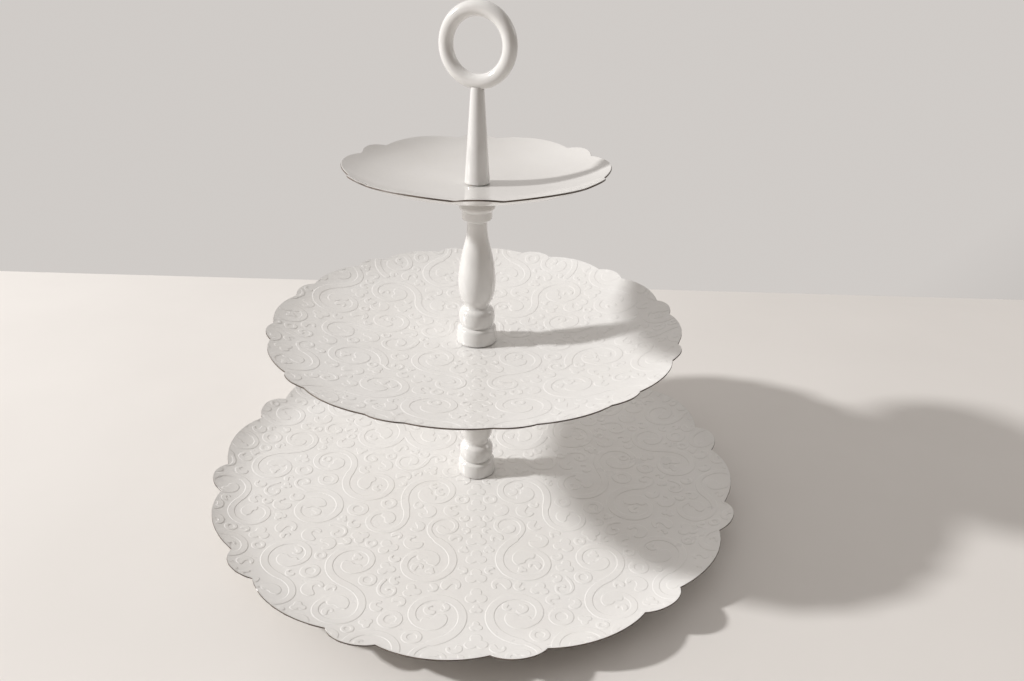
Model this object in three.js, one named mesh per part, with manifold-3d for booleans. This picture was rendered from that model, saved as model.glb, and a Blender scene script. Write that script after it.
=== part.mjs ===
// Three-tier cake stand in enamelled steel: three scalloped dishes on two turned columns,
// with a ring handle on a tapered stem. Every stage screws onto a threaded stud.
// Millimetres, +Z up. The origin is on the table, under the centre line of the columns.
import * as THREE from 'three';
import { mergeVertices } from 'three/addons/utils/BufferGeometryUtils.js';
import Module from 'manifold-3d';

const wasm = await Module();
wasm.setup();

// Driving dimensions
const SHEET = 1.0; // thickness of the dishes
const TIER_PITCH = 100; // from one dish to the next
const BOTTOM_DISH_Z = 5.2; // underside of the bottom dish at its centre
const WASHER_THICKNESS = 0.5;
const STUD_RADIUS = 3.0; // M6
const TAPPED_RADIUS = 3.4;
const CLEARANCE_HOLE_RADIUS = 3.6;
const THREAD_ENGAGEMENT = 8;
const STUD_BURIED = 9; // length of a stud fixed in the top of its column
const HOLE_SPARE = 1; // depth of a tapped hole past the end of its screw
const FIT_GAP = 0.3; // between cut faces that lie against each other

// Scalloped rims. Narrow and wide lobes take turns and meet in notches at notchRadius.
const DISHES = {
  bottom: {
    notchRadius: 165, pairs: 12, firstLobe: 7.4, narrowHalf: 5.0, narrowBulge: 6.0, wideBulge: 5.1,
    flatRadius: 49, bowlRise: 8.6, curlRadius: 145, curlRise: 1.8,
  },
  middle: {
    notchRadius: 122.9, pairs: 12, firstLobe: 8.7, narrowHalf: 5.0, narrowBulge: 2.9, wideBulge: 2.6,
    flatRadius: 33, bowlRise: 14.4, curlRadius: 108, curlRise: 0.6,
  },
  top: {
    notchRadius: 72.6, pairs: 6, firstLobe: 30, narrowHalf: 9.5, narrowBulge: 3.0, wideBulge: 2.8,
    flatRadius: 15, bowlRise: 10.2, curlRadius: 63, curlRise: 0.5,
  },
};
const DISH_SEGMENTS = 72;
const BOWL_RINGS = [0.5, 0.68, 0.83, 0.94, 1.1]; // as parts of notchRadius
const NARROW_LOBE_STEPS = 4;
const WIDE_LOBE_STEPS = 6;

// Turned columns
const COLUMN_LENGTH = TIER_PITCH - SHEET - 2 * WASHER_THICKNESS;
const COLUMN_SEGMENTS = 28;

// Ring handle on its tapered stem
const RING_RADIUS = 18.3; // to the centre of its bar
const RING_BAR_RADIUS = 4.05;
const RING_TURN = -22; // degrees about the vertical
const STEM_LENGTH = 50.8; // from its seat to the underside of the ring
const STEM_FOOT_RADIUS = 7.4;
const STEM_TOP_RADIUS = 3.7;
const CRADLE_DEPTH = 1.6; // how far the stem's end wraps up round the ring
const PIN_RADIUS = 1.5;
const PIN_LENGTH = 10;

// Fixings under the bottom dish and the feet
const PLATE_WASHER_RADIUS = 9;
const PLATE_WASHER_THICKNESS = 1.0;
const SCREW_HEAD_RADIUS = 5.5;
const SCREW_HEAD_HEIGHT = 2.8;
const HEX_SOCKET_RADIUS = 2.3;
const HEX_SOCKET_DEPTH = 1.6;
const FOOT_COUNT = 4;
const FOOT_CIRCLE_RADIUS = 92;
const FOOT_RADIUS = 8;
const FOOT_TOP_RADIUS = 7;

// Finishes
const white = (roughness) => ({ color: 0xe6e1db, roughness, metalness: 0.0 });
const ENAMEL = white(0.28);
const GLOSS_ENAMEL = white(0.14);
const PLATED = { color: 0xb9b8b4, roughness: 0.3, metalness: 1.0 };
const NYLON = { color: 0xe3e1dc, roughness: 0.45, metalness: 0.0 };
const SILICONE = { color: 0xd9d6d0, roughness: 0.6, metalness: 0.0 };

const stand = new THREE.Group();

function addPart(name, geometry, finish) {
  const mesh = new THREE.Mesh(geometry, new THREE.MeshStandardMaterial(finish));
  mesh.name = name;
  stand.add(mesh);
}

function solidOf(geometry) {
  const bare = geometry.clone();
  bare.deleteAttribute('normal');
  bare.deleteAttribute('uv');
  const merged = mergeVertices(bare, 1e-4);
  return new wasm.Manifold(new wasm.Mesh({
    numProp: 3,
    vertProperties: new Float32Array(merged.attributes.position.array),
    triVerts: new Uint32Array(merged.index.array),
  }));
}

function geometryOf(solid) {
  const { vertProperties, triVerts } = solid.getMesh();
  const geometry = new THREE.BufferGeometry();
  geometry.setAttribute('position', new THREE.BufferAttribute(vertProperties, 3));
  geometry.setIndex(new THREE.BufferAttribute(triVerts, 1));
  geometry.computeVertexNormals();
  return geometry;
}

const cut = (body, ...tools) => geometryOf(tools.reduce((left, tool) => left.subtract(solidOf(tool)), solidOf(body)));

// Turns a profile of [radius, height] points, in order up its outer side, about the vertical.
function turned(profile, segments) {
  const points = profile.map(([radius, height]) => new THREE.Vector2(radius, height));
  return new THREE.LatheGeometry(points, segments).rotateX(Math.PI / 2);
}

// An upright cylinder from one height to another.
function post(radius, bottom, top, segments = 16) {
  return turned([[0, bottom], [radius, bottom], [radius, top], [0, top]], segments);
}

// A flat ring, such as a washer.
function flatRing(inner, outer, bottom, top, segments) {
  return turned([[inner, bottom], [outer, bottom], [outer, top], [inner, top], [inner, bottom]], segments);
}

// Points along one lobe, an arc through both notches that stands out by bulge at its middle.
function lobePoints(notchRadius, centre, half, bulge, steps) {
  const tip = notchRadius + bulge;
  const arcCentre = (tip ** 2 - notchRadius ** 2) / (2 * (tip - notchRadius * Math.cos(half)));
  const arcRadius = tip - arcCentre;
  const end = Math.atan2(notchRadius * Math.sin(half), notchRadius * Math.cos(half) - arcCentre);
  return Array.from({ length: steps }, (_, step) => {
    const turn = end * ((2 * step) / steps - 1);
    return new THREE.Vector2(arcCentre + arcRadius * Math.cos(turn), arcRadius * Math.sin(turn))
      .rotateAround(new THREE.Vector2(), centre);
  });
}

function scallopedOutline(dish) {
  const { notchRadius, pairs, narrowHalf, narrowBulge, wideBulge } = dish;
  const narrow = THREE.MathUtils.degToRad(narrowHalf);
  const wide = Math.PI / pairs - narrow;
  const outline = [];
  for (let pair = 0; pair < pairs; pair += 1) {
    const centre = THREE.MathUtils.degToRad(dish.firstLobe) + (2 * Math.PI * pair) / pairs;
    outline.push(...lobePoints(notchRadius, centre, narrow, narrowBulge, NARROW_LOBE_STEPS));
    outline.push(...lobePoints(notchRadius, centre + Math.PI / pairs, wide, wideBulge, WIDE_LOBE_STEPS));
  }
  return new THREE.Shape(outline);
}

// Height of a dish above its centre: flat, then a bowl that steepens to a slight curl at the rim.
function dishHeight(dish, radius) {
  const square = (from, rise) => rise * (Math.max(0, radius - from) / (dish.notchRadius - from)) ** 2;
  return square(dish.flatRadius, dish.bowlRise) + square(dish.curlRadius, dish.curlRise);
}

// A pressed dish: a turned sheet with a hole for its stud, trimmed to the scalloped outline.
function pressedDish(dish, underside) {
  const radii = [CLEARANCE_HOLE_RADIUS, dish.flatRadius];
  radii.push(...BOWL_RINGS.filter((part) => part * dish.notchRadius > dish.flatRadius + 1)
    .map((part) => part * dish.notchRadius));
  const below = radii.map((radius) => [radius, underside + dishHeight(dish, radius)]);
  const above = below.map(([radius, height]) => [radius, height + SHEET]).reverse();
  const sheet = turned([...below, ...above, below[0]], DISH_SEGMENTS);
  const trimHeight = 60;
  const trim = new THREE.ExtrudeGeometry(scallopedOutline(dish), { depth: trimHeight, bevelEnabled: false })
    .translate(0, 0, underside - 1);
  return geometryOf(solidOf(sheet).intersect(solidOf(trim)));
}

// Outline of a column above its seat, as [radius, height]: a base disc, a torus, a long
// vase-shaped belly, a banded neck, a thin flange and a collar under the dish above.
function columnProfile() {
  const arc = (centre, height, radius, from, to, steps) => Array.from({ length: steps + 1 }, (_, step) => {
    const turn = THREE.MathUtils.degToRad(from + ((to - from) * step) / steps);
    return [centre + radius * Math.cos(turn), height + radius * Math.sin(turn)];
  });
  return [
    [0, 0], [11.8, 0], [12.5, 0.8], [12.5, 7.2], [10.7, 9.6], [10.2, 10.6],
    ...arc(5.4, 17.2, 6.0, -60, 60, 4),
    [7.8, 24.2], [9.9, 29.3], [11.1, 35], [11.4, 40.5], [10.9, 47], [9.9, 53.4],
    [7.7, 63], [6.2, 71], [6.0, 76.8], [7.0, 78.2],
    [8.9, 79], [8.9, 83.8], [10.6, 85.4], [10.6, 87], [8.2, 88.6],
    [8.2, 90.8], [11.2, 94.2], [11.2, COLUMN_LENGTH - 0.6],
    [10.6, COLUMN_LENGTH], [0, COLUMN_LENGTH],
  ];
}

function addColumn(name, seat) {
  const body = turned(columnProfile(), COLUMN_SEGMENTS).translate(0, 0, seat);
  const top = seat + COLUMN_LENGTH;
  const below = post(TAPPED_RADIUS, seat - 1, seat + THREAD_ENGAGEMENT + HOLE_SPARE);
  const above = post(TAPPED_RADIUS, top - STUD_BURIED - HOLE_SPARE, top + 1);
  addPart(`${name}_column`, cut(body, below, above), GLOSS_ENAMEL);
  addPart(`${name}_stud`, screwShank(top - STUD_BURIED, top + studReach), PLATED);
}

// From the top of a column, through washer, dish and washer, to the end of the thread above.
const studReach = 2 * WASHER_THICKNESS + SHEET + THREAD_ENGAGEMENT;

function screwShank(bottom, top) {
  const chamfer = 0.6;
  const end = STUD_RADIUS - chamfer;
  return turned([
    [0, bottom], [end, bottom], [STUD_RADIUS, bottom + chamfer],
    [STUD_RADIUS, top - chamfer], [end, top], [0, top],
  ], 16);
}

// A screw up through the bottom dish, with a domed head and a hexagon socket below.
function addBaseScrew(headTop, seat) {
  const headBottom = headTop - SCREW_HEAD_HEIGHT;
  const end = seat + THREAD_ENGAGEMENT;
  const body = turned([
    [0, headBottom], [SCREW_HEAD_RADIUS - 2, headBottom], [SCREW_HEAD_RADIUS - 0.5, headBottom + 0.9],
    [SCREW_HEAD_RADIUS, headTop - 0.6], [SCREW_HEAD_RADIUS, headTop], [STUD_RADIUS, headTop],
    [STUD_RADIUS, end - 0.6], [STUD_RADIUS - 0.6, end], [0, end],
  ], 24);
  const socket = post(HEX_SOCKET_RADIUS, headBottom - 1, headBottom + HEX_SOCKET_DEPTH, 6);
  addPart('base_screw', cut(body, socket), PLATED);
}

function addStem(seat) {
  const ringBottom = seat + STEM_LENGTH;
  const end = ringBottom + CRADLE_DEPTH;
  const body = turned([
    [0, seat], [STEM_FOOT_RADIUS - 0.5, seat], [STEM_FOOT_RADIUS, seat + 0.5],
    [STEM_TOP_RADIUS, ringBottom], [STEM_TOP_RADIUS, end], [0, end],
  ], 32);
  const cradle = handleRing(ringBottom, RING_BAR_RADIUS + FIT_GAP);
  const tapped = post(TAPPED_RADIUS, seat - 1, seat + THREAD_ENGAGEMENT + HOLE_SPARE);
  const pinHole = post(PIN_RADIUS + FIT_GAP, ringBottom - PIN_LENGTH / 2 - FIT_GAP, end + 1);
  addPart('handle_stem', cut(body, cradle, tapped, pinHole), GLOSS_ENAMEL);
  const pinBottom = ringBottom - PIN_LENGTH / 2;
  addPart('ring_pin', post(PIN_RADIUS, pinBottom, pinBottom + PIN_LENGTH, 12), PLATED);
}

// The ring stands on edge. barRadius is a little larger for the cradle that it sits in.
function handleRing(ringBottom, barRadius) {
  return new THREE.TorusGeometry(RING_RADIUS, barRadius, 12, 40)
    .rotateX(Math.PI / 2)
    .rotateZ(THREE.MathUtils.degToRad(RING_TURN))
    .translate(0, 0, ringBottom + RING_BAR_RADIUS + RING_RADIUS);
}

function addRing(ringBottom) {
  const pinTop = ringBottom + PIN_LENGTH / 2;
  const pinHole = post(PIN_RADIUS + FIT_GAP, ringBottom - 1, pinTop + FIT_GAP, 12);
  addPart('handle_ring', cut(handleRing(ringBottom, RING_BAR_RADIUS), pinHole), GLOSS_ENAMEL);
}

// A soft pad stuck under the bottom dish, its top tilted to lie against the bowl.
function addFoot(number) {
  const turn = (2 * Math.PI * (number - 0.5)) / FOOT_COUNT;
  const under = (radius) => BOTTOM_DISH_Z + dishHeight(DISHES.bottom, radius) - FIT_GAP / 3;
  const height = under(FOOT_CIRCLE_RADIUS - FOOT_TOP_RADIUS);
  const pad = turned([
    [0, 0], [FOOT_RADIUS - 0.8, 0], [FOOT_RADIUS, 0.8], [FOOT_TOP_RADIUS, height], [0, height],
  ], 20);
  pad.translate(FOOT_CIRCLE_RADIUS * Math.cos(turn), FOOT_CIRCLE_RADIUS * Math.sin(turn), 0);
  addPart(`foot_${number}`, pad, SILICONE);
}

// The seats, from the table up
const undersides = [0, 1, 2].map((tier) => BOTTOM_DISH_Z + tier * TIER_PITCH);
const seats = undersides.map((underside) => underside + SHEET + WASHER_THICKNESS);

addPart('bottom_dish', pressedDish(DISHES.bottom, undersides[0]), ENAMEL);
addPart('middle_dish', pressedDish(DISHES.middle, undersides[1]), ENAMEL);
addPart('top_dish', pressedDish(DISHES.top, undersides[2]), GLOSS_ENAMEL);
addColumn('lower', seats[0]);
addColumn('upper', seats[1]);
addStem(seats[2]);
addRing(seats[2] + STEM_LENGTH);

function addSeatWasher(name, bottom, outer) {
  const top = bottom + WASHER_THICKNESS;
  addPart(name, flatRing(CLEARANCE_HOLE_RADIUS, outer, bottom, top, 24), NYLON);
}
addSeatWasher('washer_over_bottom_dish', undersides[0] + SHEET, 10.5);
addSeatWasher('washer_under_middle_dish', undersides[1] - WASHER_THICKNESS, 10);
addSeatWasher('washer_over_middle_dish', undersides[1] + SHEET, 10.5);
addSeatWasher('washer_under_top_dish', undersides[2] - WASHER_THICKNESS, 10);
addSeatWasher('washer_over_top_dish', undersides[2] + SHEET, 6.4);

const screwSeat = undersides[0] - PLATE_WASHER_THICKNESS;
addPart('base_washer', flatRing(CLEARANCE_HOLE_RADIUS, PLATE_WASHER_RADIUS, screwSeat, undersides[0], 24), PLATED);
addBaseScrew(screwSeat, seats[0]);
for (let number = 1; number <= FOOT_COUNT; number += 1) {
  addFoot(number);
}

export default stand;
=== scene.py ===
"""Three-tier cake stand: embossed and plain enamelled dishes, turned columns, and a ring handle.

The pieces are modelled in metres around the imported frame, with +Z up and the origin on the table.
"""
import math

import bpy
import numpy as np
from mathutils import Matrix, Vector
from mathutils.geometry import delaunay_2d_cdt


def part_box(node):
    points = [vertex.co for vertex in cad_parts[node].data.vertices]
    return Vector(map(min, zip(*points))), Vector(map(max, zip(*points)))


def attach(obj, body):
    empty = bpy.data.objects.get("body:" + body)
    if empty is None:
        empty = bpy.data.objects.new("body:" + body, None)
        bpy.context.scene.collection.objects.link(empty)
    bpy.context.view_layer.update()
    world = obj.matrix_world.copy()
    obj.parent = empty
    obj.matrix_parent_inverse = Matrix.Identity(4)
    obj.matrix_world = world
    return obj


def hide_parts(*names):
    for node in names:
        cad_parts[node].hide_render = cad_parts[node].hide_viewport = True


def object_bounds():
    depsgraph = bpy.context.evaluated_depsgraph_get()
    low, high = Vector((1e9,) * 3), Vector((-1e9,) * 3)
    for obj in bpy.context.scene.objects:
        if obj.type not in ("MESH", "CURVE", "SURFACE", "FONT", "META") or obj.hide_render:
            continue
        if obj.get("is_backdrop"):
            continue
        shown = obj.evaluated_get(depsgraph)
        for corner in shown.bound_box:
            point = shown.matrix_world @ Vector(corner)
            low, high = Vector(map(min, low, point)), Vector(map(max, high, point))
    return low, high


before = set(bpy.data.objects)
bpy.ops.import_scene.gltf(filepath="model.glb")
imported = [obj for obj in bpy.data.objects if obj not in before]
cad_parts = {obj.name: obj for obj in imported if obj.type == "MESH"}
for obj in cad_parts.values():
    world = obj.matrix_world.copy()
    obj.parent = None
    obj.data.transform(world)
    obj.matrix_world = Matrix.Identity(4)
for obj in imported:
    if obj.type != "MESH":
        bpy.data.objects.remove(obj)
CAD_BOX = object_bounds()

MM = 0.001
FULL_TURN = 2 * math.pi

# Sizes that the whole stand shares
SHEET = 1.0 * MM
STUD_RADIUS = 3.0 * MM
BORE_RADIUS = 3.12 * MM
HOLE_RADIUS = 3.6 * MM
THREAD_PITCH = 1.0 * MM
THREAD_DEPTH = 0.5 * MM
COLUMN_SEGMENTS = 96
RING_BAR = 4.05 * MM  # radius of the ring's round bar
PIN_HOLE = 1.6 * MM  # radius

# Places that the frame gives
BOTTOM_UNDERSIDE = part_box("base_washer")[1].z
MIDDLE_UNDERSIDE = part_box("washer_under_middle_dish")[1].z
TOP_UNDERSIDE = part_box("washer_under_top_dish")[1].z
LOWER_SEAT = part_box("lower_column")[0].z
UPPER_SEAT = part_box("upper_column")[0].z
RING_LOW, RING_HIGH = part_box("handle_ring")
COLUMN_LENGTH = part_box("lower_column")[1].z - LOWER_SEAT

# Scalloped rims: narrow and wide lobes take turns and meet in notches. Angles are in degrees.
DISHES = {
    "bottom": dict(
        notch=165.0 * MM, pairs=12, first_lobe=7.4, narrow_half=5.0,
        narrow_bulge=6.0 * MM, wide_bulge=5.1 * MM,
        flat=49 * MM, bowl_rise=7.6 * MM, bowl_power=2.0, curl=146 * MM, curl_rise=2.8 * MM,
    ),
    "middle": dict(
        notch=122.9 * MM, pairs=12, first_lobe=8.7, narrow_half=5.0,
        narrow_bulge=2.9 * MM, wide_bulge=2.6 * MM,
        flat=33 * MM, bowl_rise=14.2 * MM, bowl_power=2.0, curl=108 * MM, curl_rise=0.8 * MM,
    ),
    "top": dict(
        notch=72.6 * MM, pairs=6, first_lobe=30.0, narrow_half=9.5,
        narrow_bulge=3.0 * MM, wide_bulge=2.8 * MM,
        flat=12 * MM, bowl_rise=10.2 * MM, bowl_power=2.6, curl=63 * MM, curl_rise=0.5 * MM,
    ),
}


# ---------------------------------------------------------------- materials

def new_material(name, colour, roughness, metallic=0.0):
    """A Principled material and its node tree, ready for the finish's own detail."""
    material = bpy.data.materials.new(name)
    material.use_nodes = True
    shader = material.node_tree.nodes["Principled BSDF"]
    shader.inputs["Base Color"].default_value = (*colour, 1)
    shader.inputs["Roughness"].default_value = roughness
    shader.inputs["Metallic"].default_value = metallic
    return material, material.node_tree, shader


def object_noise(tree, size, detail=2.0, stretch=(1, 1, 1)):
    """Noise on object coordinates, with features of about the given size in metres."""
    place = tree.nodes.new("ShaderNodeTexCoord")
    fit = tree.nodes.new("ShaderNodeMapping")
    fit.inputs["Scale"].default_value = stretch
    noise = tree.nodes.new("ShaderNodeTexNoise")
    noise.inputs["Scale"].default_value = 1 / size
    noise.inputs["Detail"].default_value = detail
    tree.links.new(place.outputs["Object"], fit.inputs["Vector"])
    tree.links.new(fit.outputs["Vector"], noise.inputs["Vector"])
    return noise.outputs["Fac"]


def spread(tree, factor, low, high, centre=0.5, reach=0.2):
    """Maps noise, which keeps near its centre, onto a range of values."""
    ranged = tree.nodes.new("ShaderNodeMapRange")
    ranged.inputs["From Min"].default_value = centre - reach
    ranged.inputs["From Max"].default_value = centre + reach
    ranged.inputs["To Min"].default_value = low
    ranged.inputs["To Max"].default_value = high
    tree.links.new(factor, ranged.inputs["Value"])
    return ranged.outputs["Result"]


def tint(tree, factor, first, second):
    """A colour between two, by a factor from 0 to 1."""
    blend = tree.nodes.new("ShaderNodeMix")
    blend.data_type = "RGBA"
    blend.inputs["A"].default_value = (*first, 1)
    blend.inputs["B"].default_value = (*second, 1)
    tree.links.new(factor, blend.inputs["Factor"])
    return blend.outputs["Result"]


def bumps(tree, shader, layers):
    """Adds bump layers, each a noise output and its height in metres, one on top of the other."""
    normal = None
    for factor, height in layers:
        bump = tree.nodes.new("ShaderNodeBump")
        bump.inputs["Strength"].default_value = 1.0
        bump.inputs["Distance"].default_value = height
        tree.links.new(factor, bump.inputs["Height"])
        if normal:
            tree.links.new(normal, bump.inputs["Normal"])
        normal = bump.outputs["Normal"]
    tree.links.new(normal, shader.inputs["Normal"])


def pressed_enamel():
    """Satin enamel on the embossed dishes: a fine orange peel, and patches a little duller than others."""
    material, tree, shader = new_material("pressed_enamel", (0.80, 0.785, 0.765), 0.3)
    cloud = spread(tree, object_noise(tree, 0.045, 3), 0, 1)
    tree.links.new(tint(tree, cloud, (0.79, 0.773, 0.75), (0.81, 0.797, 0.78)), shader.inputs["Base Color"])
    tree.links.new(spread(tree, object_noise(tree, 0.018, 4), 0.26, 0.36), shader.inputs["Roughness"])
    shader.inputs["Coat Weight"].default_value = 0.25
    shader.inputs["Coat Roughness"].default_value = 0.12
    bumps(tree, shader, [
        (object_noise(tree, 0.009, 2), 0.00003), (object_noise(tree, 0.0011, 1), 0.000007)])
    return material


def painted_shade_edge():
    """Painted shade for the cut edge of a dish: a dark brown, clouded in places, that stands in for the
    shade the edge falls into.
    """
    # painted shade: these dark browns stand in for shade on the cut edge, not a colour that the edge has
    material, tree, shader = new_material("painted_shade_edge", (0.11, 0.085, 0.065), 0.4)
    cloud = spread(tree, object_noise(tree, 0.006, 3), 0, 1)
    tree.links.new(tint(tree, cloud, (0.075, 0.053, 0.04), (0.16, 0.125, 0.10)), shader.inputs["Base Color"])
    tree.links.new(spread(tree, object_noise(tree, 0.002, 3), 0.32, 0.5), shader.inputs["Roughness"])
    bumps(tree, shader, [(object_noise(tree, 0.0012, 2), 0.00001)])
    return material


def gloss_enamel(name, waviness, dull, bright):
    """Poured gloss enamel, clouded between two whites, with the soft waviness that a thick coat leaves."""
    material, tree, shader = new_material(name, bright, 0.12)
    cloud = spread(tree, object_noise(tree, 0.03, 3), 0, 1)
    tree.links.new(tint(tree, cloud, dull, bright), shader.inputs["Base Color"])
    tree.links.new(spread(tree, object_noise(tree, 0.012, 4), 0.10, 0.17), shader.inputs["Roughness"])
    shader.inputs["Coat Weight"].default_value = 0.5
    shader.inputs["Coat Roughness"].default_value = 0.05
    bumps(tree, shader, [
        (object_noise(tree, 0.011, 2), waviness), (object_noise(tree, 0.0014, 1), 0.000003)])
    return material


def zinc_plate():
    """Bright zinc plate, with fine turning marks round the axis."""
    material, tree, shader = new_material("zinc_plate", (0.62, 0.61, 0.58), 0.3, metallic=1.0)
    cloud = spread(tree, object_noise(tree, 0.004, 4), 0, 1)
    tree.links.new(tint(tree, cloud, (0.55, 0.545, 0.53), (0.68, 0.67, 0.63)), shader.inputs["Base Color"])
    tree.links.new(spread(tree, object_noise(tree, 0.0015, 3), 0.22, 0.4), shader.inputs["Roughness"])
    bumps(tree, shader, [(object_noise(tree, 0.0009, 2, stretch=(1, 1, 8)), 0.000006)])
    return material


def nylon():
    """Natural nylon: milky, faintly cloudy, with a moulded grain."""
    material, tree, shader = new_material("nylon", (0.72, 0.70, 0.66), 0.45)
    cloud = spread(tree, object_noise(tree, 0.003, 3), 0, 1)
    tree.links.new(tint(tree, cloud, (0.68, 0.66, 0.62), (0.75, 0.73, 0.69)), shader.inputs["Base Color"])
    tree.links.new(spread(tree, object_noise(tree, 0.0012, 2), 0.38, 0.52), shader.inputs["Roughness"])
    shader.inputs["Subsurface Weight"].default_value = 0.15
    shader.inputs["Subsurface Scale"].default_value = 0.001
    bumps(tree, shader, [(object_noise(tree, 0.0007, 2), 0.00001)])
    return material


def silicone():
    """Translucent white silicone with a fine matt grain."""
    material, tree, shader = new_material("silicone", (0.66, 0.64, 0.61), 0.6)
    cloud = spread(tree, object_noise(tree, 0.005, 3), 0, 1)
    tree.links.new(tint(tree, cloud, (0.62, 0.60, 0.57), (0.69, 0.67, 0.64)), shader.inputs["Base Color"])
    tree.links.new(spread(tree, object_noise(tree, 0.0015, 3), 0.52, 0.68), shader.inputs["Roughness"])
    shader.inputs["Subsurface Weight"].default_value = 0.2
    shader.inputs["Subsurface Scale"].default_value = 0.002
    bumps(tree, shader, [(object_noise(tree, 0.0006, 2), 0.00002)])
    return material


PRESSED_ENAMEL = pressed_enamel()
# painted shade for the dishes' cut edges
PAINTED_SHADE_EDGE = painted_shade_edge()
DISH_GLOSS = gloss_enamel("dish_gloss_enamel", 0.00002, (0.72, 0.70, 0.675), (0.75, 0.732, 0.71))
CAST_GLOSS = gloss_enamel("cast_gloss_enamel", 0.00009, (0.80, 0.783, 0.76), (0.82, 0.807, 0.79))
ZINC = zinc_plate()
NYLON = nylon()
SILICONE = silicone()


# ---------------------------------------------------------------- modelling helpers

def deselect():
    if bpy.context.object and bpy.context.object.mode != "OBJECT":
        bpy.ops.object.mode_set(mode="OBJECT")
    bpy.ops.object.select_all(action="DESELECT")


def edit():
    """Goes into edit mode with all of the mesh selected."""
    bpy.ops.object.mode_set(mode="EDIT")
    bpy.ops.mesh.select_mode(type="VERT")
    bpy.ops.mesh.select_all(action="SELECT")


def leave_edit():
    bpy.ops.object.mode_set(mode="OBJECT")


def apply_modifier(piece, kind, **settings):
    modifier = piece.modifiers.new(kind.lower(), kind)
    for key, value in settings.items():
        setattr(modifier, key, value)
    bpy.ops.object.modifier_apply(modifier=modifier.name)


def coordinates(piece):
    flat = np.empty(len(piece.data.vertices) * 3)
    piece.data.vertices.foreach_get("co", flat)
    return flat.reshape(-1, 3)


def set_coordinates(piece, points):
    piece.data.vertices.foreach_set("co", points.ravel())
    piece.data.update()


def first_point(name, radius, height):
    """A mesh of one point at (radius, 0, height), from a plane merged at its centre."""
    deselect()
    bpy.ops.mesh.primitive_plane_add(size=MM, location=(0, 0, 0))
    piece = bpy.context.object
    piece.name = piece.data.name = name
    edit()
    bpy.ops.mesh.merge(type="CENTER")
    bpy.ops.transform.translate(value=(radius, 0, height))
    return piece


def spun(name, profile, segments=48):
    """A piece turned about the vertical from a profile of (radius, height) points."""
    piece = first_point(name, *profile[0])
    for here, there in zip(profile, profile[1:]):
        step = (there[0] - here[0], 0, there[1] - here[1])
        bpy.ops.mesh.extrude_region_move(TRANSFORM_OT_translate={"value": step})
    bpy.ops.mesh.select_all(action="SELECT")
    bpy.ops.mesh.spin(steps=segments, angle=FULL_TURN, center=(0, 0, 0), axis=(0, 0, 1))
    close_seams()
    leave_edit()
    return piece


def close_seams():
    bpy.ops.mesh.select_all(action="SELECT")
    bpy.ops.mesh.remove_doubles(threshold=2e-6)
    bpy.ops.mesh.normals_make_consistent(inside=False)


def finish(piece, body, material, replaced, smooth=40):
    """Shading, material and the piece's place in the frame."""
    deselect()
    piece.select_set(True)
    bpy.context.view_layer.objects.active = piece
    bpy.ops.object.shade_smooth_by_angle(angle=math.radians(smooth))
    piece.data.materials.clear()
    piece.data.materials.append(material)
    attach(piece, body)
    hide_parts(*replaced)
    return piece


def flowing(points, steps=6):
    """A smooth curve through the points, for a vase-shaped stretch of a profile."""
    ends = [points[0], *points, points[-1]]
    curve = []
    for before, start, end, after in zip(ends, ends[1:], ends[2:], ends[3:]):
        for step in range(steps):
            t = step / steps
            curve.append(tuple(
                0.5 * (2 * b + (c - a) * t
                       + (2 * a - 5 * b + 4 * c - d) * t ** 2 + (3 * b - a - 3 * c + d) * t ** 3)
                for a, b, c, d in zip(before, start, end, after)
            ))
    return curve + [points[-1]]


# ---------------------------------------------------------------- dishes

CUT_ZONE = 1.3 * MM  # how far in from the rim the cut edge's faces can be
EASE_WIDTH, EASE_DEPTH = 0.22 * MM, 0.16 * MM

def rim_radius(dish, angle):
    """How far out the scalloped edge is, at each angle."""
    pitch = FULL_TURN / dish["pairs"]
    narrow_half = math.radians(dish["narrow_half"])
    wide_half = pitch / 2 - narrow_half
    from_lobe = (angle - math.radians(dish["first_lobe"]) + pitch / 2) % pitch - pitch / 2
    in_narrow = np.abs(from_lobe) <= narrow_half
    offset = np.where(in_narrow, np.abs(from_lobe), pitch / 2 - np.abs(from_lobe))
    edge = np.empty_like(offset)
    lobes = ((in_narrow, narrow_half, dish["narrow_bulge"]), (~in_narrow, wide_half, dish["wide_bulge"]))
    for here, half, bulge in lobes:
        tip = dish["notch"] + bulge
        centre = (tip ** 2 - dish["notch"] ** 2) / (2 * (tip - dish["notch"] * math.cos(half)))
        across = centre * np.sin(offset[here])
        edge[here] = centre * np.cos(offset[here]) + np.sqrt((tip - centre) ** 2 - across ** 2)
    return edge


def bowl_height(dish, radius):
    """Height above the dish's centre: flat, then a bowl that steepens to a slight curl at the rim."""
    bowl = np.maximum(0, radius - dish["flat"]) / (dish["notch"] - dish["flat"])
    curl = np.maximum(0, radius - dish["curl"]) / (dish["notch"] - dish["curl"])
    return dish["bowl_rise"] * bowl ** dish["bowl_power"] + dish["curl_rise"] * curl ** 2


def shape_sheet(piece, dish, underside, part, angle):
    """Gives a flat disc its scalloped outline and bowl. Part goes from 0 in the middle to 1 at the rim."""
    rim_zone = np.clip((part - 0.88) / 0.12, 0, 1) ** 2
    radius = part * dish["notch"] + rim_zone * (rim_radius(dish, angle) - dish["notch"])
    radius = np.maximum(radius, HOLE_RADIUS)
    x, y = radius * np.cos(angle), radius * np.sin(angle)
    z = underside + SHEET + bowl_height(dish, radius)
    set_coordinates(piece, np.stack([x, y, z], 1))


def near_cut(dish, points):
    """Which points lie near the rim or the hole."""
    radius = np.hypot(points[:, 0], points[:, 1])
    edge = rim_radius(dish, np.arctan2(points[:, 1], points[:, 0]))
    return (radius > edge - CUT_ZONE) | (radius < HOLE_RADIUS + MM)


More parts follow.
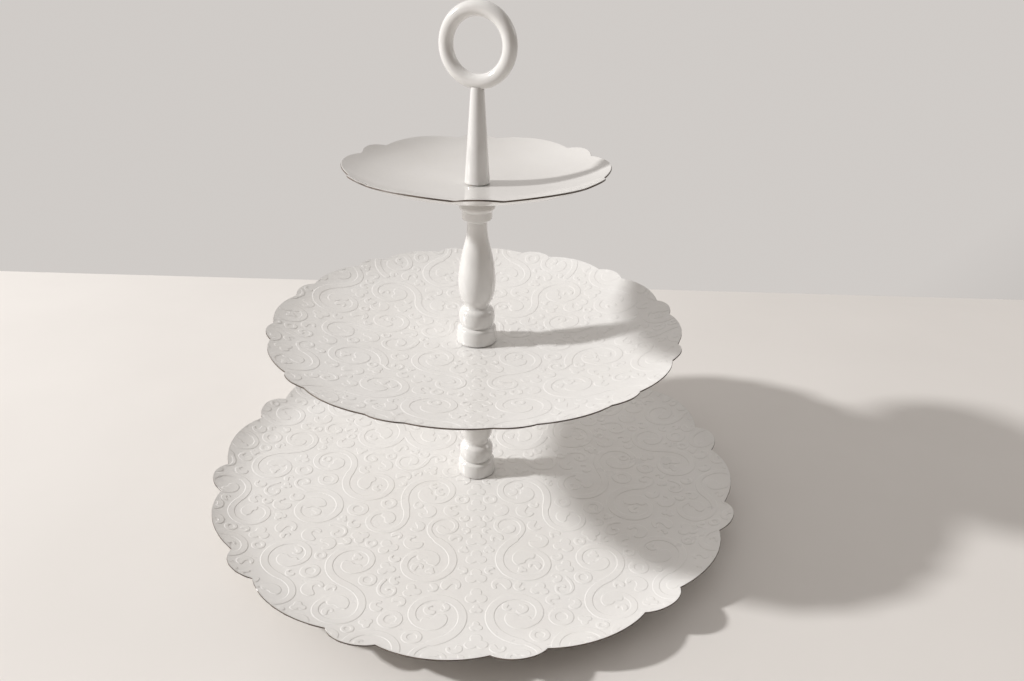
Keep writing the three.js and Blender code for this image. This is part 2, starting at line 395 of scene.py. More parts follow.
def thicken(piece, dish):
    """Gives the sheet its thickness below, and eases the corners of its cut edge at the rim and the hole."""
    apply_modifier(piece, "SOLIDIFY", thickness=SHEET, offset=-1)
    points = coordinates(piece)
    at_cut = near_cut(dish, points)
    upright = [
        abs(face.normal.z) < 0.5 and len(face.vertices) == 4
        and all(at_cut[corner] for corner in face.vertices)
        for face in piece.data.polygons
    ]
    select_points(piece, np.zeros(len(points), bool))
    bpy.ops.mesh.select_mode(type="FACE")
    leave_edit()
    piece.data.polygons.foreach_set("select", upright)
    bpy.ops.object.mode_set(mode="EDIT")
    bpy.ops.mesh.inset(thickness=EASE_WIDTH, depth=EASE_DEPTH, use_even_offset=False)
    leave_edit()


def plain_dish(name, dish, underside):
    """A smooth dish: a line spun into a disc, then shaped."""
    steps = 40
    line = [(HOLE_RADIUS + (dish["notch"] - HOLE_RADIUS) * step / steps, 0) for step in range(steps + 1)]
    piece = spun(name, line, segments=360)
    points = coordinates(piece)
    part = np.hypot(points[:, 0], points[:, 1]) / dish["notch"]
    shape_sheet(piece, dish, underside, part, np.arctan2(points[:, 1], points[:, 0]))
    face_up(piece)
    thicken(piece, dish)
    return piece


def face_up(piece):
    """Turns a sheet's faces upwards."""
    if piece.data.polygons[0].normal.z < 0:
        edit()
        bpy.ops.mesh.flip_normals()
        leave_edit()


def select_points(piece, chosen):
    """Goes into edit mode with only the chosen vertices selected."""
    bpy.ops.object.mode_set(mode="EDIT")
    bpy.ops.mesh.select_mode(type="VERT")
    bpy.ops.mesh.select_all(action="DESELECT")
    bpy.ops.object.mode_set(mode="OBJECT")
    piece.data.vertices.foreach_set("select", chosen)
    bpy.ops.object.mode_set(mode="EDIT")


# ---------------------------------------------------------------- scrollwork

PLAIN_MIDDLE = 16.5 * MM
STAMP_REACH = 9.5 * MM
FLANK = 0.35 * MM  # how far each side of its outline a band's flank reaches
BORDER = 1.6 * MM  # the relief dies out over this width at the rim
OVERRUN = 1.5 * MM  # how far past the rim the outlines are still laid
RASTER = 0.4 * MM
FILL_ROOM = 4.3 * MM  # a gap narrower than this stays plain
GROUND_SPACING = 5 * MM


class Scrollwork:
    """Distance from a dish's raised bands, on a square raster: negative inside a band."""

    def __init__(self, reach, raster):
        self.half = reach + 12 * MM
        self.raster = raster
        self.count = int(2 * self.half / raster) + 1
        self.line = np.arange(self.count) * raster - self.half
        self.away = np.full((self.count, self.count), STAMP_REACH, np.float32)

    def index(self, value):
        return int(np.clip(round((value + self.half) / self.raster), 0, self.count))

    def stamp(self, x, y, radius, ring=0.0):
        """A round spot, or a ring of the given half width, and its mirror image."""
        reach = radius + STAMP_REACH
        bottom, top = self.index(y - reach), self.index(y + reach)
        for centre in (x, -x):
            left, right = self.index(centre - reach), self.index(centre + reach)
            spot = np.hypot(self.line[left:right, None] - centre, self.line[None, bottom:top] - y) - radius
            part = self.away[left:right, bottom:top]
            np.minimum(part, np.abs(spot) - ring if ring else spot, out=part)

    def band(self, points, half_widths):
        """A band along the points, with the half width that each gives."""
        run = np.concatenate([[0], np.cumsum(np.hypot(*np.diff(points, axis=0).T))])
        steps = np.linspace(0, run[-1], max(2, int(run[-1] / (0.5 * MM))))
        rows = [np.interp(steps, run, row) for row in (points[:, 0], points[:, 1], half_widths)]
        for x, y, half in zip(*rows):
            self.stamp(x, y, half)


def place_scrolls(reach, scale, dice):
    """Circles packed against each other in the right half of a dish, the largest first."""
    gap = 1.6 * MM * scale
    across, along = np.meshgrid(
        np.arange(0, reach * 1.06, MM), np.arange(-reach * 1.06, reach * 1.06, MM), indexing="ij")
    radius = np.hypot(across, along)
    room = np.minimum(across - gap / 2, radius - PLAIN_MIDDLE)
    room[radius > reach * 1.03] = -1
    scrolls = []
    for size, most in ((20, 8), (17.5, 12), (15, 20), (12, 34), (9.5, 50), (7, 60)):
        size *= MM * scale
        for _ in range(most):
            fits = room >= size + gap
            snug = fits & (room < size + gap + 1.1 * MM)
            spots = np.argwhere(snug if snug.any() else fits)
            if not len(spots):
                break
            row, column = spots[dice.integers(len(spots))]
            x, y = across[row, column], along[row, column]
            scrolls.append((x, y, size))
            room = np.minimum(room, np.hypot(across - x, along - y) - size)
    return scrolls


def pair_scrolls(scrolls, scale):
    """Neighbours that one S-shaped band joins: {scroll: its mate}."""
    gaps = []
    for one, (x, y, size) in enumerate(scrolls):
        for two in range(one + 1, len(scrolls)):
            u, v, other = scrolls[two]
            gaps.append((math.hypot(x - u, y - v) - size - other, one, two))
    mates = {}
    for gap, one, two in sorted(gaps):
        if gap < 7 * MM * scale and one not in mates and two not in mates:
            mates[one], mates[two] = two, one
    return mates


def cut_scroll(work, scroll, scale, start, hand, join):
    """A spiral band in to a lobed leaf. It starts at the angle start, at the distance join."""
    x, y, size = scroll
    large = size > 11 * MM * scale
    part = np.linspace(0, 1, 100)
    turned = part * (1.22 if large else 0.95) * FULL_TURN
    half_band = 0.115 * size + 0.2 * MM
    eye = 0.33 if large else 0.4
    away = (size - half_band) * (1 - (1 - eye) * part ** 1.15)
    away = away + (join - size + half_band) * np.exp(-turned / 0.5)
    angle = start + hand * turned
    points = np.stack([x + away * np.cos(angle), y + away * np.sin(angle)], 1)
    leaf = np.clip((part - 0.74) / 0.26, 0, 1)
    work.band(points, half_band * (1 - 0.3 * part) + 0.06 * size * np.sin(math.pi * leaf))
    end = angle[-1]
    if large:
        for back, out, lobe in ((2.1, 0.27, 0.13), (1.25, 0.20, 0.125), (0.35, 0.17, 0.11)):
            turn = end - hand * back
            work.stamp(x + out * size * math.cos(turn), y + out * size * math.sin(turn), lobe * size)
        for back, out, knob in ((4.9, 0.64, 0.075), (4.35, 0.60, 0.06)):
            turn = end - hand * back
            work.stamp(x + out * size * math.cos(turn), y + out * size * math.sin(turn), knob * size)
    else:
        turn = end + hand * 0.5
        work.stamp(x + 0.22 * size * math.cos(turn), y + 0.22 * size * math.sin(turn), 0.2 * size)


def fill_gap(work, x, y, room, turn, kind):
    """A small ornament in the room that the scrolls leave: a clover, a bead with a ring, or a hook."""
    if kind == "clover":
        for leaf in range(3):
            angle = turn + leaf * FULL_TURN / 3
            work.stamp(x + 0.36 * room * math.cos(angle), y + 0.36 * room * math.sin(angle), 0.33 * room)
    elif kind == "ring":
        work.stamp(x, y, 0.52 * room, ring=0.18 * room)
    else:
        tail = np.linspace(0, 1, 24)
        angle = turn + 4.1 * tail
        away = room * (0.56 - 0.2 * tail)
        points = np.stack([x + away * np.cos(angle), y + away * np.sin(angle)], 1)
        work.band(points, room * (0.13 + 0.2 * np.sin(math.pi * tail ** 0.5) ** 2))


def fill_gaps(work, reach, scale, dice):
    """Fills the wider gaps, the widest first, and leaves the rest plain."""
    radius = np.hypot(work.line[:, None], work.line[None, :])
    on_axis = 1.2 * MM
    open_ground = (radius < reach + 6 * MM) & (radius > PLAIN_MIDDLE) & (work.line[:, None] >= -work.raster)
    own_side = np.where(work.line < on_axis, 1.0, work.line + work.raster)[:, None]
    kinds = ("hook", "hook", "hook", "clover", "ring")
    for _ in range(220):
        room = np.where(open_ground, np.minimum(work.away, own_side), 0)
        row, column = divmod(int(np.argmax(room)), work.count)
        widest = float(room[row, column])
        if widest < FILL_ROOM * scale:
            break
        x = work.line[row]
        turn = dice.uniform(0, FULL_TURN)
        kind = kinds[dice.integers(len(kinds))]
        if x < on_axis:
            x, turn, kind = 0.0, math.pi / 2, "clover"
        fill_gap(work, x, work.line[column], widest, turn, kind)


def scrollwork(reach, scale, seed):
    """The whole pattern of one dish, mirrored left to right."""
    dice = np.random.default_rng(seed)
    scrolls = place_scrolls(reach, scale, dice)
    mates = pair_scrolls(scrolls, scale)
    work = Scrollwork(reach, RASTER * scale)
    hands = {}
    for number, scroll in enumerate(scrolls):
        x, y, size = scroll
        mate = mates.get(number)
        if number not in hands:
            hands[number] = 1 if dice.uniform() < 0.5 else -1
            if mate is not None:
                hands[mate] = hands[number]
        if mate is None:
            start, join = dice.uniform(0, FULL_TURN), size + 2 * MM * scale
        else:
            u, v, other = scrolls[mate]
            start = math.atan2(v - y, u - x)
            join = (math.hypot(u - x, v - y) + size - other) / 2
        cut_scroll(work, scroll, scale, start, hands[number], join)
    fill_gaps(work, reach, scale, dice)
    return work


class Relief:
    """Height and slope of the raised bands above plain sheet."""

    def __init__(self, work, height, dish):
        self.work = work
        self.height = height
        self.dish = dish
        self.across, self.along = np.gradient(work.away, work.raster)

    def sample(self, grid, x, y):
        across = np.clip((x + self.work.half) / self.work.raster, 0, self.work.count - 2)
        along = np.clip((y + self.work.half) / self.work.raster, 0, self.work.count - 2)
        i, j = across.astype(int), along.astype(int)
        s, t = across - i, along - j
        low = grid[i, j] * (1 - s) + grid[i + 1, j] * s
        high = grid[i, j + 1] * (1 - s) + grid[i + 1, j + 1] * s
        return low * (1 - t) + high * t

    def part(self, x, y):
        """0 on plain sheet, 1 on top of a band."""
        return np.clip((FLANK - self.sample(self.work.away, x, y)) / (2 * FLANK), 0, 1)

    def strength(self, x, y):
        """The relief dies out in a narrow border at the rim."""
        return np.clip((rim_radius(self.dish, np.arctan2(y, x)) - np.hypot(x, y)) / BORDER, 0, 1)

    def rise(self, x, y):
        part = self.part(x, y)
        return self.height * self.strength(x, y) * part * part * (3 - 2 * part)

    def slope(self, x, y):
        part = self.part(x, y)
        steep = -self.height * self.strength(x, y) * 6 * part * (1 - part) / (2 * FLANK)
        return steep * self.sample(self.across, x, y), steep * self.sample(self.along, x, y)


def level_lines(work, level, spacing):
    """Lines where the distance from the bands has the given level, with points about spacing apart."""
    field = work.away - level
    inside = field < 0
    count = work.count
    places, links = {}, {}
    for axis, offset in ((0, 0), (1, count * count)):
        here = field[:-1, :] if axis == 0 else field[:, :-1]
        there = field[1:, :] if axis == 0 else field[:, 1:]
        for i, j in np.argwhere((here < 0) != (there < 0)):
            part = here[i, j] / (here[i, j] - there[i, j])
            step = (part, 0) if axis == 0 else (0, part)
            x, y = (work.line[start] + move * work.raster for start, move in zip((i, j), step))
            places[offset + i * count + j] = (x, y)
    corner_sum = inside[:-1, :-1].astype(int) + inside[1:, :-1] + inside[:-1, 1:] + inside[1:, 1:]
    for i, j in np.argwhere((corner_sum > 0) & (corner_sum < 4)):
        low, high = i * count + j, i * count + j + 1
        left, right = count * count + i * count + j, count * count + (i + 1) * count + j
        crossed = [edge for edge in (low, left, high, right) if edge in places]
        for one, two in zip(crossed[::2], crossed[1::2]):
            links.setdefault(one, []).append(two)
            links.setdefault(two, []).append(one)
    lines = (even_line(chain, places, spacing) for chain in walk_chains(links))
    return [line for line in lines if line is not None]


def walk_chains(links):
    """Splits linked points into chains: open ones from their ends, then closed ones."""
    unused = dict.fromkeys(sorted(links, key=lambda point: (len(links[point]) != 1, point)))
    while unused:
        here = next(iter(unused))
        chain = [here]
        del unused[here]
        while True:
            onward = [point for point in links[here] if point in unused]
            if not onward:
                break
            here = onward[0]
            chain.append(here)
            del unused[here]
        if len(links[chain[0]]) == 2 and chain[0] in links[here]:
            chain.append(chain[0])
        yield chain


def even_line(chain, places, spacing):
    """A chain's points drawn again at an even spacing, or None if it is too short to show."""
    points = np.array([places[point] for point in chain])
    run = np.concatenate([[0], np.cumsum(np.hypot(*np.diff(points, axis=0).T))])
    if run[-1] < 2.5 * MM:
        return None
    steps = np.linspace(0, run[-1], max(6, round(run[-1] / spacing)) + 1)
    return np.stack([np.interp(steps, run, points[:, 0]), np.interp(steps, run, points[:, 1])], 1)


def rim_line(dish, spacing):
    """The scalloped outline, with a point in every notch."""
    pitch, half = FULL_TURN / dish["pairs"], math.radians(dish["narrow_half"])
    angles = []
    for pair in range(dish["pairs"]):
        lobe = math.radians(dish["first_lobe"]) + pair * pitch
        for start, end in ((lobe - half, lobe + half), (lobe + half, lobe + pitch - half)):
            steps = math.ceil((end - start) * dish["notch"] / spacing)
            angles += [start + (end - start) * step / steps for step in range(steps)]
    angles = np.array(angles + angles[:1])
    radius = rim_radius(dish, angles + 1e-9)
    return np.stack([radius * np.cos(angles), radius * np.sin(angles)], 1)


def ground_points(dish, relief, spacing):
    """Points between the bands, close enough together to carry the bowl."""
    reach = dish["notch"] + 6 * MM
    rows = np.arange(-reach, reach, spacing)
    x, y = (grid.ravel() for grid in np.meshgrid(rows, rows * 0.87))
    x = x + np.where(np.round(y / (0.87 * spacing)) % 2 == 0, 0, spacing / 2)
    away = np.abs(relief.sample(relief.work.away, x, y))
    radius = np.hypot(x, y)
    keep = (away > FLANK + 0.9 * MM) & (radius > HOLE_RADIUS + 2 * MM)
    keep &= radius < rim_radius(dish, np.arctan2(y, x)) - 2 * MM
    return np.stack([x[keep], y[keep]], 1)


def flat_net(dish, relief, spacing):
    """Triangles that follow the rim, the hole and the foot, middle and shoulder of every band."""
    turns = np.linspace(0, FULL_TURN, 49)
    hole = HOLE_RADIUS * np.stack([np.cos(turns), np.sin(turns)], 1)
    rim = rim_line(dish, spacing)
    lines = [rim, rim * (1 - BORDER / dish["notch"]), hole]
    for level in (FLANK, 0.0, -FLANK):
        lines += level_lines(relief.work, level, spacing)
    points, edges = [], []
    for line in lines:
        edge = rim_radius(dish, np.arctan2(line[:, 1], line[:, 0]))
        near = np.hypot(line[:, 0], line[:, 1]) < edge + OVERRUN
        closed = np.allclose(line[0], line[-1])
        first = len(points)
        last = len(line) - 1 if closed else len(line)
        points += [Vector(point) / MM for point in line[:last].tolist()]
        for step in range(len(line) - 1):
            if near[step] or near[step + 1]:
                edges.append((first + step, first + (step + 1) % last))
    points += [Vector(point) / MM for point in ground_points(dish, relief, GROUND_SPACING).tolist()]
    corners, _, faces, _, _, _ = delaunay_2d_cdt(points, edges, [], 0, 1e-4)
    flat = np.array([tuple(corner) for corner in corners]) * MM
    faces = np.array(faces)
    middle = flat[faces].mean(axis=1)
    radius = np.hypot(middle[:, 0], middle[:, 1])
    edge = rim_radius(dish, np.arctan2(middle[:, 1], middle[:, 0]))
    return flat, faces[(radius < edge - 2e-6) & (radius > HOLE_RADIUS * 0.998)]


def embossed_dish(name, dish, underside, relief, spacing):
    """A pressed dish with raised scrollwork, laid out flat and then given bowl, relief and thickness.

    Its mesh is built from the bands' outlines, because a thinned grid can't keep their edges crisp.
    """
    flat, faces = flat_net(dish, relief, spacing)
    used, faces = np.unique(faces, return_inverse=True)
    x, y = flat[used].T
    height = underside + SHEET + bowl_height(dish, np.hypot(x, y)) + relief.rise(x, y)
    deselect()
    mesh = bpy.data.meshes.new(name)
    mesh.from_pydata(np.stack([x, y, height], 1).tolist(), [], faces.reshape(-1, 3).tolist())
    piece = bpy.data.objects.new(name, mesh)
    bpy.context.collection.objects.link(piece)
    bpy.context.view_layer.objects.active = piece
    piece.select_set(True)
    face_up(piece)
    thicken(piece, dish)
    return piece


def draw_normals(piece, dish, relief):
    """Gives the sheet's shading the true slope of its bowl and flanks. The cut edge stays as it is."""
    mesh = piece.data
    loops = np.empty(len(mesh.loops), int)
    mesh.loops.foreach_get("vertex_index", loops)
    normals = np.empty(3 * len(mesh.loops))
    mesh.corner_normals.foreach_get("vector", normals)
    normals = normals.reshape(-1, 3)
    sizes = np.empty(len(mesh.polygons), int)
    mesh.polygons.foreach_get("loop_total", sizes)
    facing = np.empty(3 * len(mesh.polygons))
    mesh.polygons.foreach_get("normal", facing)
    facing = np.repeat(facing.reshape(-1, 3), sizes, axis=0)
    x, y, _ = coordinates(piece)[loops].T
    radius = np.hypot(x, y)
    step = 0.01 * MM
    bowl = (bowl_height(dish, radius + step) - bowl_height(dish, radius)) / step
    lean_x, lean_y = relief.slope(x, y)
    true = np.stack([-(bowl * x / radius + lean_x), -(bowl * y / radius + lean_y), np.ones_like(x)], 1)
    true /= np.linalg.norm(true, axis=1)[:, None]
    true *= np.sign(facing[:, 2])[:, None]
    sheet = np.abs(facing[:, 2]) > 0.7
    mesh.normals_split_custom_set(np.where(sheet[:, None], true, normals).tolist())


def darken_cut(piece, dish):
    """Gives the cut faces round the rim and the hole a second material of painted shade, a dark brown."""
    mesh = piece.data
    # painted shade: the dark edge material goes on the cut faces
    mesh.materials.append(PAINTED_SHADE_EDGE)
    facing = np.array([tuple(face.normal) for face in mesh.polygons])
    middle = np.array([tuple(face.center) for face in mesh.polygons])
    cut = (np.abs(facing[:, 2]) < 0.5) & near_cut(dish, middle)
    mesh.polygons.foreach_set("material_index", cut.astype(int))


def make_dishes():
    spacing = 1.7 * MM
    makes = (
        ("bottom_scroll_dish", "bottom", BOTTOM_UNDERSIDE, 1.0, 3, 0.3 * MM, "base", "bottom_dish"),
        ("middle_scroll_dish", "middle", MIDDLE_UNDERSIDE, 0.95, 11, 0.25 * MM, "middle_dish",
         "middle_dish"),
    )
    for name, size, underside, scale, seed, height, body, node in makes:
        dish = DISHES[size]
        relief = Relief(scrollwork(dish["notch"], scale, seed), height, dish)
        piece = embossed_dish(name, dish, underside, relief, spacing)
        finish(piece, body, PRESSED_ENAMEL, [node], smooth=60)
        darken_cut(piece, dish)
        draw_normals(piece, dish, relief)
    piece = plain_dish("top_plain_dish", DISHES["top"], TOP_UNDERSIDE)
    finish(piece, "top_dish", DISH_GLOSS, ["top_dish"], smooth=50)
    darken_cut(piece, DISHES["top"])


# ---------------------------------------------------------------- columns, stem and ring

def column_profile(seat):
    """From the blind hole in the foot, out and up the turned outside, and in to the hole in the top."""
    foot_hole, top_hole = 9.2, COLUMN_LENGTH / MM - 10.2
    outside = [
        (BORE_RADIUS / MM, 0), (11.9, 0), (12.35, 0.25), (12.5, 0.7), (12.45, 3.0), (12.3, 6.4),
        (12.15, 8.2), (11.95, 9.0), (11.65, 9.5), (11.2, 9.9), (10.6, 10.25), (10.0, 10.55), (9.8, 10.95),
        (10.1, 11.35),
        (10.6, 12.2), (10.9, 13.5), (11.15, 15.6), (11.2, 17.4), (11.05, 19.0), (10.7, 20.3), (10.2, 21.2),
        (9.4, 22.1), (8.5, 22.8), (7.95, 23.4),
        *flowing([
            (7.8, 24.2), (8.1, 25.6), (9.9, 29.3), (11.1, 34.6), (11.4, 40.5), (10.9, 47), (9.9, 53.4),
            (8.5, 59.7), (6.95, 66), (6.1, 72), (6.0, 76.6), (6.35, 77.7), (7.2, 78.3),
        ]),
        (8.4, 78.6), (8.85, 79.1), (8.95, 79.8), (8.95, 83.2), (9.15, 83.9), (9.5, 84.4),
        (10.1, 84.9), (10.5, 85.4), (10.65, 86.1), (10.5, 86.8), (10.0, 87.3), (9.1, 87.9), (8.3, 88.7),
        (8.15, 89.6), (8.25, 90.6), (8.8, 91.6), (10.6, 93.6), (11.1, 94.4), (11.2, 95.2),
        (11.2, 97.3), (11.05, 97.8), (10.6, 98), (BORE_RADIUS / MM, 98),
    ]
    inside_foot = [(0, foot_hole), (BORE_RADIUS / MM, foot_hole - 1)]
    inside_top = [(BORE_RADIUS / MM, top_hole + 1), (0, top_hole)]
    return [(radius * MM, seat + height * MM) for radius, height in inside_foot + outside + inside_top]


def make_column(name, seat, body, node):
    piece = spun(name, column_profile(seat), COLUMN_SEGMENTS)
    finish(piece, body, CAST_GLOSS, [node], smooth=35)


def make_ring():
    """The ring stands on edge, turned a little about the vertical, with a hole for its pin."""
    deselect()
    bar, turn = ring_sizes()
    middle = (RING_HIGH.z - RING_LOW.z) / 2 - bar
    ring = ring_torus("ring_loop", middle, bar, turn, 160, 48)
    pin_low, pin_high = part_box("ring_pin")
    drill = post_tool(PIN_HOLE, pin_low.z, pin_high.z + 0.3 * MM)
    carve(ring, drill)
    finish(ring, "handle", CAST_GLOSS, ["handle_ring"], smooth=50)


def ring_sizes():
    """The bar's radius and the ring's turn about the vertical, from the frame's box of the ring."""
    outer = (RING_HIGH.z - RING_LOW.z) / 2
    across = (RING_HIGH.x - RING_LOW.x) / 2
    return RING_BAR, -math.acos(min(1, (across - RING_BAR) / (outer - RING_BAR)))


def ring_torus(name, radius, bar, turn, around, along):
    deselect()
    bpy.ops.mesh.primitive_torus_add(
        major_segments=around, minor_segments=along, major_radius=radius, minor_radius=bar,
        location=(0, 0, (RING_LOW.z + RING_HIGH.z) / 2), rotation=(math.pi / 2, 0, turn))
    piece = bpy.context.object
    piece.name = piece.data.name = name
    bpy.ops.object.transform_apply(location=True, rotation=True, scale=True)
    return piece


def post_tool(radius, low, high, sides=48):
    """A cylinder that only serves to cut a hole."""
    deselect()
    bpy.ops.mesh.primitive_cylinder_add(
        vertices=sides, radius=radius, depth=high - low, location=(0, 0, (low + high) / 2))
    bpy.ops.object.transform_apply(location=True)
    return bpy.context.object


def carve(piece, tool):
    """Cuts the tool's shape out of the piece."""
    deselect()
    piece.select_set(True)
    bpy.context.view_layer.objects.active = piece
    apply_modifier(piece, "BOOLEAN", operation="DIFFERENCE", object=tool, solver="EXACT")
    bpy.data.objects.remove(tool)


def make_stem():
    """A tapered stem on a small foot, hollowed at its end to cradle the ring."""
    low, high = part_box("handle_stem")
    bar, turn = ring_sizes()
    top = RING_LOW.z
    slope = (7.3 - 3.75) * MM / (top - low.z)
    profile = [(0, low.z + 9.2 * MM), (BORE_RADIUS, low.z + 8.2 * MM), (BORE_RADIUS, low.z)]
    profile += [(6.9 * MM, low.z), (7.25 * MM, low.z + 0.15 * MM), (7.4 * MM, low.z + 0.5 * MM)]
    heights = [low.z + 1.0 * MM + (top - low.z - 1.6 * MM) * step / 12 for step in range(13)]
    profile += [(7.35 * MM - slope * (height - low.z), height) for height in heights]
    profile += [(3.72 * MM, top + 0.2 * MM), (3.72 * MM, high.z - 0.1 * MM), (0, high.z)]
    stem = spun("tapered_stem", profile, 96)
    radius = (RING_HIGH.z - RING_LOW.z) / 2 - bar
    carve(stem, ring_torus("cradle_cutter", radius, bar + 0.16 * MM, turn, 160, 48))
    pin_low, pin_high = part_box("ring_pin")
    carve(stem, post_tool(PIN_HOLE, pin_low.z - 0.2 * MM, pin_high.z))
    finish(stem, "handle", CAST_GLOSS, ["handle_stem"], smooth=35)


# ---------------------------------------------------------------- fixings, washers and feet

def cut_thread(piece, low, high):
    """Draws the rings of vertices between two heights in to a right-hand thread."""
    points = coordinates(piece)
    radius = np.hypot(points[:, 0], points[:, 1])
    on_shank = (np.abs(radius - STUD_RADIUS) < 0.02 * MM) & (points[:, 2] > low) & (points[:, 2] < high)
    angle = np.arctan2(points[:, 1], points[:, 0])
    phase = (points[:, 2] / THREAD_PITCH - angle / FULL_TURN) % 1
    tooth = np.clip(1.7 * (1 - np.abs(2 * phase - 1)) - 0.3, 0, 1)
    fade = 0.8 * MM
    run_out = np.clip((points[:, 2] - low) / fade, 0, 1) * np.clip((high - points[:, 2]) / fade, 0, 1)
    depth = THREAD_DEPTH * (1 - tooth) * run_out
    scale = np.where(on_shank, (radius - depth) / np.maximum(radius, 1e-9), 1)
    points[:, :2] *= scale[:, None]
    set_coordinates(piece, points)


def shank(low, high):
    """Profile points up a screw's shank, fine enough to carry its thread."""
    rings = int((high - low) / THREAD_PITCH * 8)
    return [(STUD_RADIUS, low + (high - low) * ring / rings) for ring in range(rings + 1)]


def make_stud(name, body, node):
    low, high = (corner.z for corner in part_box(node))
    chamfer = 0.6 * MM
    profile = [(0, low), (STUD_RADIUS - chamfer, low)]
    profile += shank(low + chamfer, high - chamfer)
    profile += [(STUD_RADIUS - chamfer, high), (0, high)]
    piece = spun(name, profile, 48)
    cut_thread(piece, low + chamfer, high - chamfer)
    finish(piece, body, ZINC, [node], smooth=50)


def make_base_screw():
    """A low-headed socket screw, up through the bottom dish."""
    low, high = (corner.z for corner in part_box("base_screw"))
    head_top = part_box("base_washer")[0].z
    chamfer = 0.6 * MM
    profile = [(0, low), (3.4 * MM, low), (4.4 * MM, low + 0.3 * MM), (5.1 * MM, low + 1.0 * MM)]
    profile += [(5.42 * MM, low + 1.9 * MM), (5.5 * MM, head_top - 0.25 * MM), (5.3 * MM, head_top)]
    profile += [(STUD_RADIUS, head_top)] + shank(head_top + 0.4 * MM, high - chamfer)
    profile += [(STUD_RADIUS - chamfer, high), (0, high)]
    piece = spun("base_socket_screw", profile, 48)
    cut_thread(piece, head_top + 0.4 * MM, high - chamfer)
    carve(piece, post_tool(2.3 * MM, low - MM, low + 1.6 * MM, sides=6))
    finish(piece, "base", ZINC, ["base_screw"], smooth=35)


def make_pin():
    low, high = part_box("ring_pin")
    radius, chamfer = 1.5 * MM, 0.3 * MM
    profile = [(0, low.z), (radius - chamfer, low.z), (radius, low.z + chamfer)]
    profile += [(radius, high.z - chamfer), (radius - chamfer, high.z), (0, high.z)]
    finish(spun("ring_dowel", profile, 32), "handle", ZINC, ["ring_pin"], smooth=35)


def make_washer(node, body, material, edge):
    """A flat ring with its edges eased."""
    low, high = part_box(node)
    outer, inner = high.x, HOLE_RADIUS
    profile = [
        (inner, low.z + edge), (inner + edge, low.z), (outer - edge, low.z), (outer, low.z + edge),
        (outer, high.z - edge), (outer - edge, high.z), (inner + edge, high.z), (inner, high.z - edge),
        (inner, low.z + edge),
    ]
    finish(spun(node + "_disc", profile, 64), body, material, [node], smooth=35)


def make_foot(number):
    """A soft stick-on pad: a low drum with a rounded lip, dished in a little underneath."""
    low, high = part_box(f"foot_{number}")
    height = high.z - low.z
    profile = [
        (0, 0.35 * MM), (4.6 * MM, 0.35 * MM), (5.1 * MM, 0.08 * MM), (5.6 * MM, 0), (7.2 * MM, 0),
        (7.75 * MM, 0.22 * MM), (8 * MM, 0.75 * MM), (7.95 * MM, 1.5 * MM), (7.15 * MM, height - 0.5 * MM),
        (7.0 * MM, height - 0.2 * MM), (6.75 * MM, height), (0, height),
    ]
    piece = spun(f"soft_foot_{number}", [(radius, low.z + z) for radius, z in profile], 48)
    edit()
    bpy.ops.transform.translate(value=((low.x + high.x) / 2, (low.y + high.y) / 2, 0))
    leave_edit()
    finish(piece, "base", SILICONE, [f"foot_{number}"], smooth=40)


# ---------------------------------------------------------------- studio

def make_camera():
    """The eye stands in front of the stand and looks down on it, a shade to the right and a shade tilted."""
    stand_point = Vector((0.0, -0.4232, 0.3189))
    pitch, yaw, roll = math.radians(26.71), math.radians(3.009), math.radians(1.509)
    level = Vector((math.sin(yaw), math.cos(yaw), 0))
    forward = level * math.cos(pitch) - Vector((0, 0, math.sin(pitch)))
    right = Vector((math.cos(yaw), -math.sin(yaw), 0))
    up = right.cross(forward)
    across = right * math.cos(roll) + up * math.sin(roll)
    above = up * math.cos(roll) - right * math.sin(roll)
    data = bpy.data.cameras.new("eye")
    data.sensor_width = 36
    data.lens = 26.34
    data.clip_start = 0.01
    camera = bpy.data.objects.new("eye", data)
    bpy.context.collection.objects.link(camera)
    turn = Matrix((across, above, -forward)).transposed().to_4x4()
    camera.matrix_world = Matrix.Translation(stand_point) @ turn
    bpy.context.scene.camera = camera


def soft_light(name, place, aim, size, power, colour):
    data = bpy.data.lights.new(name, "AREA")
    data.shape = "DISK"
    data.size = size
    data.energy = power
    data.color = colour
    lamp = bpy.data.objects.new(name, data)
    bpy.context.collection.objects.link(lamp)
    lamp.location = place
    lamp.rotation_euler = (Vector(aim) - Vector(place)).to_track_quat("-Z", "Y").to_euler()


def table_paint():
    material, tree, shader = new_material("table_paint", (0.76, 0.73, 0.70), 0.7)
    cloud = spread(tree, object_noise(tree, 0.12, 4), 0, 1)
    tree.links.new(tint(tree, cloud, (0.75, 0.72, 0.69), (0.77, 0.74, 0.71)), shader.inputs["Base Color"])
    tree.links.new(spread(tree, object_noise(tree, 0.02, 3), 0.6, 0.75), shader.inputs["Roughness"])
    return material


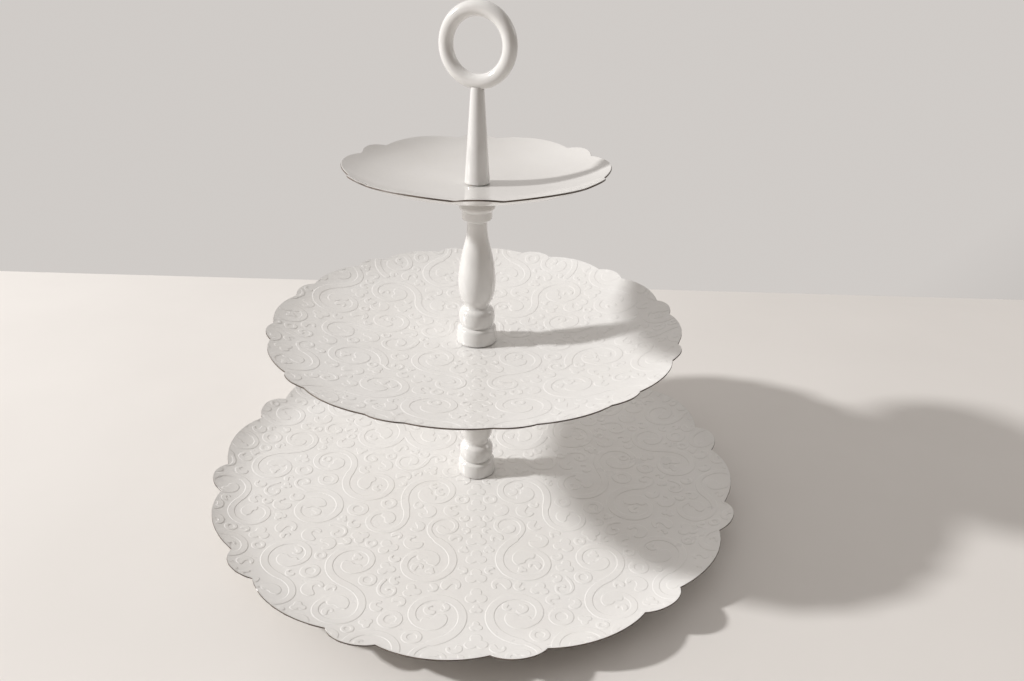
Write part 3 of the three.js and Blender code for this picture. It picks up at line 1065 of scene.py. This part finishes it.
def make_table():
    """A pale table that ends a little way behind the stand."""
    deselect()
    turn, back_edge, size = math.radians(-3.28), 0.3475, 8.0
    middle = Vector((math.sin(turn), -math.cos(turn), 0)) * (size / 2) + Vector((0, back_edge, 0))
    bpy.ops.mesh.primitive_plane_add(size=size, location=middle, rotation=(0, 0, turn))
    table = bpy.context.object
    table.name = "table"
    table.data.materials.append(table_paint())
    table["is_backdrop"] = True


def make_room():
    """Light from all round: pale from behind, above and the left, dim from the front and below."""
    world = bpy.data.worlds.new("room")
    bpy.context.scene.world = world
    world.use_nodes = True
    tree = world.node_tree
    direction = tree.nodes.new("ShaderNodeTexCoord").outputs["Generated"]
    towards = tree.nodes.new("ShaderNodeVectorMath")
    towards.operation = "DOT_PRODUCT"
    towards.inputs[1].default_value = (-0.28, 0.85, 0.42)
    tree.links.new(direction, towards.inputs[0])
    pale = spread(tree, towards.outputs["Value"], 0, 1, centre=-0.05, reach=0.45)
    shade = tint(tree, pale, (0.042, 0.03, 0.02), (0.63, 0.60, 0.575))
    tree.links.new(shade, tree.nodes["Background"].inputs["Color"])


def make_studio():
    make_table()
    soft_light("window", (-2.76, -0.115, 1.852), (0, 0, 0.12), 0.23, 99, (1.0, 0.995, 0.99))
    soft_light("far_side", (2.0, 0.4, 1.2), (0, 0, 0.12), 0.9, 3.6, (1.0, 0.98, 0.96))
    make_room()
    bpy.context.scene.view_settings.view_transform = "Standard"


make_dishes()
make_column("lower_baluster", LOWER_SEAT, "lower_column", "lower_column")
make_column("upper_baluster", UPPER_SEAT, "upper_column", "upper_column")
make_stem()
make_ring()
make_pin()
make_stud("lower_threaded_stud", "lower_column", "lower_stud")
make_stud("upper_threaded_stud", "upper_column", "upper_stud")
make_base_screw()
make_washer("base_washer", "base", ZINC, 0.15 * MM)
make_washer("washer_over_bottom_dish", "lower_seat", NYLON, 0.1 * MM)
make_washer("washer_under_middle_dish", "lower_column", NYLON, 0.1 * MM)
make_washer("washer_over_middle_dish", "upper_seat", NYLON, 0.1 * MM)
make_washer("washer_under_top_dish", "upper_column", NYLON, 0.1 * MM)
make_washer("washer_over_top_dish", "handle_seat", NYLON, 0.1 * MM)
for foot_number in range(1, 5):
    make_foot(foot_number)
make_camera()
make_studio()

boxes = {"cad": CAD_BOX, "visual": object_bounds()}
{name: [list(corner) for corner in box] for name, box in boxes.items()}
